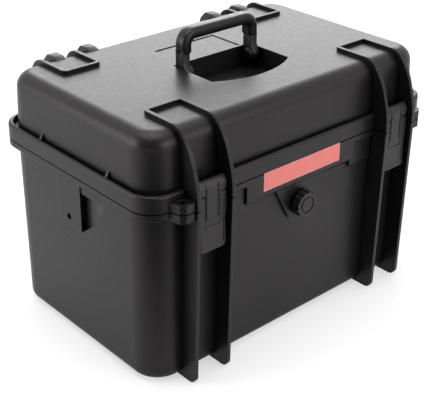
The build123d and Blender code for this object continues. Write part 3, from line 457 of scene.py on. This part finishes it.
def make_floor():
    """A floor that is white to the camera; where the painted shadow of the dark spot lies it throws no light
    back at the case.
    """
    mesh = bpy.data.meshes.new("floor")
    signs = ((-1, -1), (1, -1), (1, 1), (-1, 1))
    corners = [(sign_x * FLOOR_HALF, sign_y * FLOOR_HALF, 0.0) for sign_x, sign_y in signs]
    mesh.from_pydata(corners, [], [(0, 1, 2, 3)])
    floor = bpy.data.objects.new("floor", mesh)
    bpy.context.scene.collection.objects.link(floor)
    material, tree = new_material("floor")
    seen = light_path(tree, "Is Camera Ray", "Is Transmission Ray")
    glossy = light_path(tree, "Is Glossy Ray")
    # Painted shadow: the floor's albedo and its shine drop in the dark spot.
    outside_painted_shadow = dark_spot(tree, object_coords(tree))
    white = map_range(tree, outside_painted_shadow, 0.0, 1.0, 1.0, FLOOR_SEEN)
    shine = combine(tree, "MULTIPLY", outside_painted_shadow, FLOOR_SHINE)
    glow = add_node(tree, "ShaderNodeEmission")
    glow.inputs["Color"].default_value = WHITE
    strength = combine(
        tree, "MAXIMUM", combine(tree, "MULTIPLY", seen, white), combine(tree, "MULTIPLY", glossy, shine)
    )
    tree.links.new(strength, glow.inputs["Strength"])
    diffuse = add_node(tree, "ShaderNodeBsdfDiffuse")
    floor_color = mix_color(tree, outside_painted_shadow, [FLOOR_PAINTED_SHADOW_ALBEDO] * 3, [FLOOR_ALBEDO] * 3)
    tree.links.new(floor_color, diffuse.inputs["Color"])
    total = add_node(tree, "ShaderNodeAddShader")
    tree.links.new(glow.outputs[0], total.inputs[0])
    tree.links.new(diffuse.outputs[0], total.inputs[1])
    output = add_node(tree, "ShaderNodeOutputMaterial")
    tree.links.new(total.outputs[0], output.inputs["Surface"])
    mesh.materials.append(material)


def make_world():
    """White to the camera, and a studio that is bright on one side only to everything else."""
    world = bpy.data.worlds.new("world")
    bpy.context.scene.world = world
    world.use_nodes = True
    tree = world.node_tree
    tree.nodes.clear()
    seen = light_path(tree, "Is Camera Ray", "Is Transmission Ray")
    direction = add_node(tree, "ShaderNodeTexCoord").outputs["Generated"]
    studio = combine(tree, "MULTIPLY", studio_side(tree, direction), AMBIENT)
    background = add_node(tree, "ShaderNodeBackground")
    background.inputs["Color"].default_value = WHITE
    tree.links.new(combine(tree, "MAXIMUM", seen, studio), background.inputs["Strength"])
    output = add_node(tree, "ShaderNodeOutputWorld")
    tree.links.new(background.outputs[0], output.inputs["Surface"])


CENTRE = (0.0, 0.0, 0.15)
# Name, place, width, height and radiance of each softbox; all face CENTRE.
SOFTBOXES = (
    ("back_light", (1.15, 1.30, 0.95), 1.5, 0.9, 3.7),
    ("top_light", (-0.2, 0.0, 1.7), 1.2, 1.2, 2.45),
    ("left_light", (-1.55, 0.75, 0.6), 1.0, 1.0, 4.0),
    ("front_light", (0.35, -1.9, 0.9), 1.4, 0.9, 4.1),
)


def make_softbox(name, place, width, height, radiance):
    """A rectangular lamp that faces CENTRE and doesn't show itself to the camera."""
    data = bpy.data.lights.new(name, "AREA")
    data.shape = "RECTANGLE"
    data.size = width
    data.size_y = height
    data.energy = radiance * pi * width * height
    lamp = bpy.data.objects.new(name, data)
    bpy.context.scene.collection.objects.link(lamp)
    direction = Vector(CENTRE) - Vector(place)
    lamp.rotation_euler = direction.to_track_quat("-Z", "Y").to_euler()
    lamp.location = place
    lamp.visible_camera = False


make_camera()
make_world()
make_floor()
for row in SOFTBOXES:
    make_softbox(*row)


# ---- Handle ----
HANDLE_OUTER_X = 53.0
HANDLE_TOP_Z = 311.0
HANDLE_Y = 5.6
SLEEVE_BOTTOM_Z = 285.0
SLEEVE_THICK = 12.5
SLEEVE_DEEP = 16.0
SLEEVE_CORNER = 4.6
SLEEVE_LIP = 1.0
BEND_RADIUS = 11.0
LEG_INNER_X = 43.0
LEG_DEEP = 12.5
LEG_TOP_Z = SLEEVE_BOTTOM_Z + 4.0
EYE_RADIUS = 7.6
EYE_INNER_X = 40.3
EYE_START = 165.0
EYE_SWEEP = 200.0
EYE_ARC_STEPS = 20
FRONT_NECK = 2.0
REAR_NECK = -1.0
BOSS_RADIUS = 0.8 * EYE_RADIUS
BOSS_ARC_STEPS = 30
BOSS_SINK = 1.0
LEG_EDGE = 1.2
BEVEL_SEGMENTS = 3
SMOOTH_ANGLE = radians(35)
BEND_STEPS = 10


def link_mesh(name, vertices, faces):
    """A new object in the scene, from vertices in mm."""
    mesh = bpy.data.meshes.new(name)
    mesh.from_pydata([[c * MM for c in vertex] for vertex in vertices], [], faces)
    mesh.update()
    piece = bpy.data.objects.new(name, mesh)
    bpy.context.scene.collection.objects.link(piece)
    return piece


def finish_piece(piece, slot, body, *nodes, edge=0.0):
    """Round the piece's edges, give it its finish and let it ride on its body in place of the nodes."""
    if edge:
        bevel = piece.modifiers.new("edge", "BEVEL")
        bevel.width = edge * MM
        bevel.segments = BEVEL_SEGMENTS
        bevel.angle_limit = SMOOTH_ANGLE
        graph = bpy.context.evaluated_depsgraph_get()
        final = bpy.data.meshes.new_from_object(piece.evaluated_get(graph))
        piece.modifiers.clear()
        piece.data = final
    piece.data.shade_smooth()
    piece.data.set_sharp_from_angle(angle=SMOOTH_ANGLE)
    dress(piece, slot)
    if nodes:
        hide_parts(*nodes)
    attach(piece, body)


def rounded_section(thick, deep, corner, steps=5):
    """The corners of a rounded rectangle, as (outward, along y) pairs."""
    points = []
    for side, end, start in ((1, 1, 0), (-1, 1, 90), (-1, -1, 180), (1, -1, 270)):
        for step in range(steps + 1):
            angle = radians(start + 90.0 * step / steps)
            outward = side * (thick / 2 - corner) + corner * cos(angle)
            along = end * (deep / 2 - corner) + corner * sin(angle)
            points.append((outward, along))
    return points


def swept(name, stations):
    """Skin rounded rectangles along a path.

    A station is (x, y, z, outward x, outward z, thick, deep, corner).
    """
    vertices = []
    for x, y, z, out_x, out_z, thick, deep, corner in stations:
        for out, along in rounded_section(thick, deep, corner):
            vertices.append((x + out * out_x, y + along, z + out * out_z))
    count = len(vertices) // len(stations)
    faces = []
    for row in range(len(stations) - 1):
        for column in range(count):
            beside = (column + 1) % count
            first, second = row * count, (row + 1) * count
            faces.append((first + column, first + beside, second + beside, second + column))
    last = (len(stations) - 1) * count
    faces.append(tuple(range(count))[::-1])
    faces.append(tuple(range(last, last + count)))
    return link_mesh(name, vertices, faces)


def handle_sleeve():
    """The soft grip: up from one leg, round both bends and down to the other."""
    side_x = HANDLE_OUTER_X - SLEEVE_THICK / 2
    top_z = HANDLE_TOP_Z - SLEEVE_THICK / 2
    full = (SLEEVE_THICK, SLEEVE_DEEP, SLEEVE_CORNER)
    lip = (SLEEVE_THICK - 2 * SLEEVE_LIP, SLEEVE_DEEP - 2 * SLEEVE_LIP, SLEEVE_CORNER - SLEEVE_LIP)
    stations = [
        (side_x, HANDLE_Y, SLEEVE_BOTTOM_Z, 1.0, 0.0, *lip),
        (side_x, HANDLE_Y, SLEEVE_BOTTOM_Z + SLEEVE_LIP, 1.0, 0.0, *full),
    ]
    for step in range(BEND_STEPS + 1):
        angle = radians(90.0 * step / BEND_STEPS)
        x = side_x - BEND_RADIUS * (1 - cos(angle))
        stations.append((x, HANDLE_Y, top_z - BEND_RADIUS * (1 - sin(angle)), cos(angle), sin(angle), *full))
    other = [(-x, y, z, -out_x, out_z, *size) for x, y, z, out_x, out_z, *size in reversed(stations)]
    return swept("handle_sleeve", stations + other)


def extruded_across_x(outline, low_x, high_x):
    """Vertices and faces of an outline of (y, z) points, made solid between two x values."""
    count = len(outline)
    vertices = [(low_x, y, z) for y, z in outline] + [(high_x, y, z) for y, z in outline]
    faces = [tuple(range(count)), tuple(range(count, 2 * count))[::-1]]
    for index in range(count):
        beside = (index + 1) % count
        faces.append((index, index + count, beside + count, beside))
    return vertices, faces


def handle_leg(side, pivot_y, pivot_z):
    """One leg of the bail: a solid round eye about the pivot pin, with a boss on its inner face."""
    rear, front = HANDLE_Y + LEG_DEEP / 2, HANDLE_Y - LEG_DEEP / 2
    outline = [(front, LEG_TOP_Z), (front, pivot_z + EYE_RADIUS + FRONT_NECK)]
    for step in range(EYE_ARC_STEPS + 1):
        angle = radians(EYE_START + EYE_SWEEP * step / EYE_ARC_STEPS)
        outline.append((pivot_y + EYE_RADIUS * cos(angle), pivot_z + EYE_RADIUS * sin(angle)))
    outline += [(rear, pivot_z + EYE_RADIUS + REAR_NECK), (rear, LEG_TOP_Z)]
    circle = [
        (pivot_y + BOSS_RADIUS * cos(angle), pivot_z + BOSS_RADIUS * sin(angle))
        for angle in (2 * pi * step / BOSS_ARC_STEPS for step in range(BOSS_ARC_STEPS))
    ]
    vertices, faces = extruded_across_x(outline, side * HANDLE_OUTER_X, side * LEG_INNER_X)
    boss, boss_faces = extruded_across_x(circle, side * (LEG_INNER_X + BOSS_SINK), side * EYE_INNER_X)
    start = len(vertices)
    faces += [tuple(index + start for index in face) for face in boss_faces]
    return vertices + boss, faces


def make_handle():
    """The hard legs and the soft sleeve, drawn about the axis of the handle's pins."""
    low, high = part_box("handle_pins")
    pivot_y, pivot_z = (low[1] + high[1]) / 2 / MM, (low[2] + high[2]) / 2 / MM
    vertices, faces = handle_leg(1, pivot_y, pivot_z)
    other, other_faces = handle_leg(-1, pivot_y, pivot_z)
    start = len(vertices)
    faces += [tuple(index + start for index in face) for face in other_faces]
    legs = link_mesh("handle_legs", vertices + other, faces)
    finish_piece(legs, "handle_plastic", "handle", "handle_bail", edge=LEG_EDGE)
    finish_piece(handle_sleeve(), "grip_rubber", "handle", "handle_grip")


make_handle()


# ---- Hinge arm crests ----
ARM_CENTRES = (-132.5, -90.0, 90.0, 132.5)
ARM_HALF_WIDTH = 6.5
# Each point is (y from the hinge axis, z).
CREST_OUTLINE = (
    (-34.0, 269.5), (-26.0, 272.6), (-13.0, 272.6), (-5.0, 264.0), (-0.5, 250.0), (1.5, 232.0),
    (-4.0, 229.0), (-14.0, 250.0), (-24.0, 262.0), (-36.0, 266.0),
)


def make_crests():
    """The crests of the lid's four hinge arms, which stand proud of its rear edge as its fins do."""
    low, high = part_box("hinge_pins")
    axis_y = (low[1] + high[1]) / 2 / MM
    vertices, faces = [], []
    for centre in ARM_CENTRES:
        more, more_faces = extruded_across_x(
            [(axis_y + y, z) for y, z in CREST_OUTLINE], centre - ARM_HALF_WIDTH, centre + ARM_HALF_WIDTH
        )
        faces += [tuple(index + len(vertices) for index in face) for face in more_faces]
        vertices += more
    finish_piece(link_mesh("hinge_arm_crests", vertices, faces), "case_plastic", "lid", edge=LEG_EDGE)


make_crests()


# ---- Latch ribs ----
RIB_WIDTH = 1.6
RIB_PROUD = 0.7
RIB_CORNER = 0.9 * RIB_PROUD
RIB_STEPS = 14
# Piece, its body, the ribs' distance from its middle, and the heights of their ends.
RIBS = (("link", "latch", 7.4, 181.0, 216.5), ("lever", "lever", 14.6, 151.0, 197.0))
RAY_START_Y = -1.0
TO_THE_REAR = Vector((0.0, 1.0, 0.0))


def make_ribs(side, piece_name, body, offset, low_z, high_z):
    """Two raised ribs that follow the front face of a latch piece."""
    node = "latch_" + piece_name + "_" + side
    low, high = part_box(node)
    centre = (low[0] + high[0]) / 2 / MM
    for number, sign in enumerate((-1, 1)):
        x = centre + sign * offset
        stations = []
        for step in range(RIB_STEPS + 1):
            z = low_z + (high_z - low_z) * step / RIB_STEPS
            hit, place, _, _ = NODES[node].ray_cast(Vector((x * MM, RAY_START_Y, z * MM)), TO_THE_REAR)
            if hit:
                stations.append((x, place.y / MM, z, 1.0, 0.0, RIB_WIDTH, 2 * RIB_PROUD, RIB_CORNER))
        rib = swept("%s_rib_%s_%d" % (piece_name, side, number), stations)
        finish_piece(rib, "latch_plastic", body + "_" + side)


for latch_side in ("left", "right"):
    for rib_row in RIBS:
        make_ribs(latch_side, *rib_row)


# ---- Foam ----
EDGE_ROUNDING_STEPS = 4
WOBBLE = 0.25 * MM
WAVES_PER_METRE = 120.0
CRATE_PITCH = 36.0 * MM
CRATE_DEPTH = 13.0 * MM


def vertex_array(mesh, key):
    """One row of x, y and z for each vertex: its place with key co, its normal with key normal."""
    values = np.empty(len(mesh.vertices) * 3, dtype=np.float32)
    mesh.vertices.foreach_get(key, values)
    return values.reshape(-1, 3)


def uneven(points):
    """Smooth, repeatable unevenness between -1 and 1 at each point."""
    x, y, z = (points * WAVES_PER_METRE).T
    bent_by_y = np.sin(x + 1.7 * np.sin(0.6 * y))
    bent_by_z = np.sin(1.3 * y + 2.1 * np.sin(0.7 * z))
    slanted = np.sin(1.1 * z + x)
    return (bent_by_y + bent_by_z + slanted) / 3.0


def remeshed(source, voxel):
    """A fine, even mesh of the source's solid with softened edges."""
    piece = bpy.data.objects.new(source.name + "_cut", source.data.copy())
    bpy.context.scene.collection.objects.link(piece)
    remesh = piece.modifiers.new("remesh", "REMESH")
    remesh.mode = "VOXEL"
    remesh.voxel_size = voxel
    smooth = piece.modifiers.new("smooth", "SMOOTH")
    smooth.iterations = EDGE_ROUNDING_STEPS
    graph = bpy.context.evaluated_depsgraph_get()
    final = bpy.data.meshes.new_from_object(piece.evaluated_get(graph))
    piece.modifiers.clear()
    piece.data = final
    return piece


def foam_copy(node, body, voxel, crate_depth=0.0):
    """A cut foam piece with rounded edges and uneven faces; crate_depth carves bumps in its underside."""
    piece = remeshed(NODES[node], voxel)
    mesh = piece.data
    points = vertex_array(mesh, "co")
    normals = vertex_array(mesh, "normal")
    points += normals * (WOBBLE * (uneven(points) - 1.0))[:, None]
    low, high = points[:, 2].min(), points[:, 2].max()
    bumps = np.cos(points[:, 0] * 2 * pi / CRATE_PITCH) * np.cos(points[:, 1] * 2 * pi / CRATE_PITCH)
    from_top = (high - points[:, 2]) / (high - low)
    points[:, 2] += crate_depth * (1.0 - bumps) / 2 * from_top
    mesh.vertices.foreach_set("co", points.ravel())
    mesh.shade_smooth()
    dress(piece, "foam")
    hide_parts(node)
    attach(piece, body)


# Mesh fineness in mm of each kind of foam piece, told by a word in its node's name.
FOAM_VOXELS = {"floor": 4.0, "lining": 3.0, "dividers": 2.5, "pad": 3.5, "block": 4.0}
for body in ("base", "lid"):
    for foam_node in frame["record"]["behaviour"]["bodies"][body]:
        if "foam" in foam_node:
            kind = next(word for word in FOAM_VOXELS if word in foam_node)
            depth = CRATE_DEPTH if kind == "pad" else 0.0
            foam_copy(foam_node, body, FOAM_VOXELS[kind] * MM, depth)

bpy.context.scene.view_settings.view_transform = "Standard"
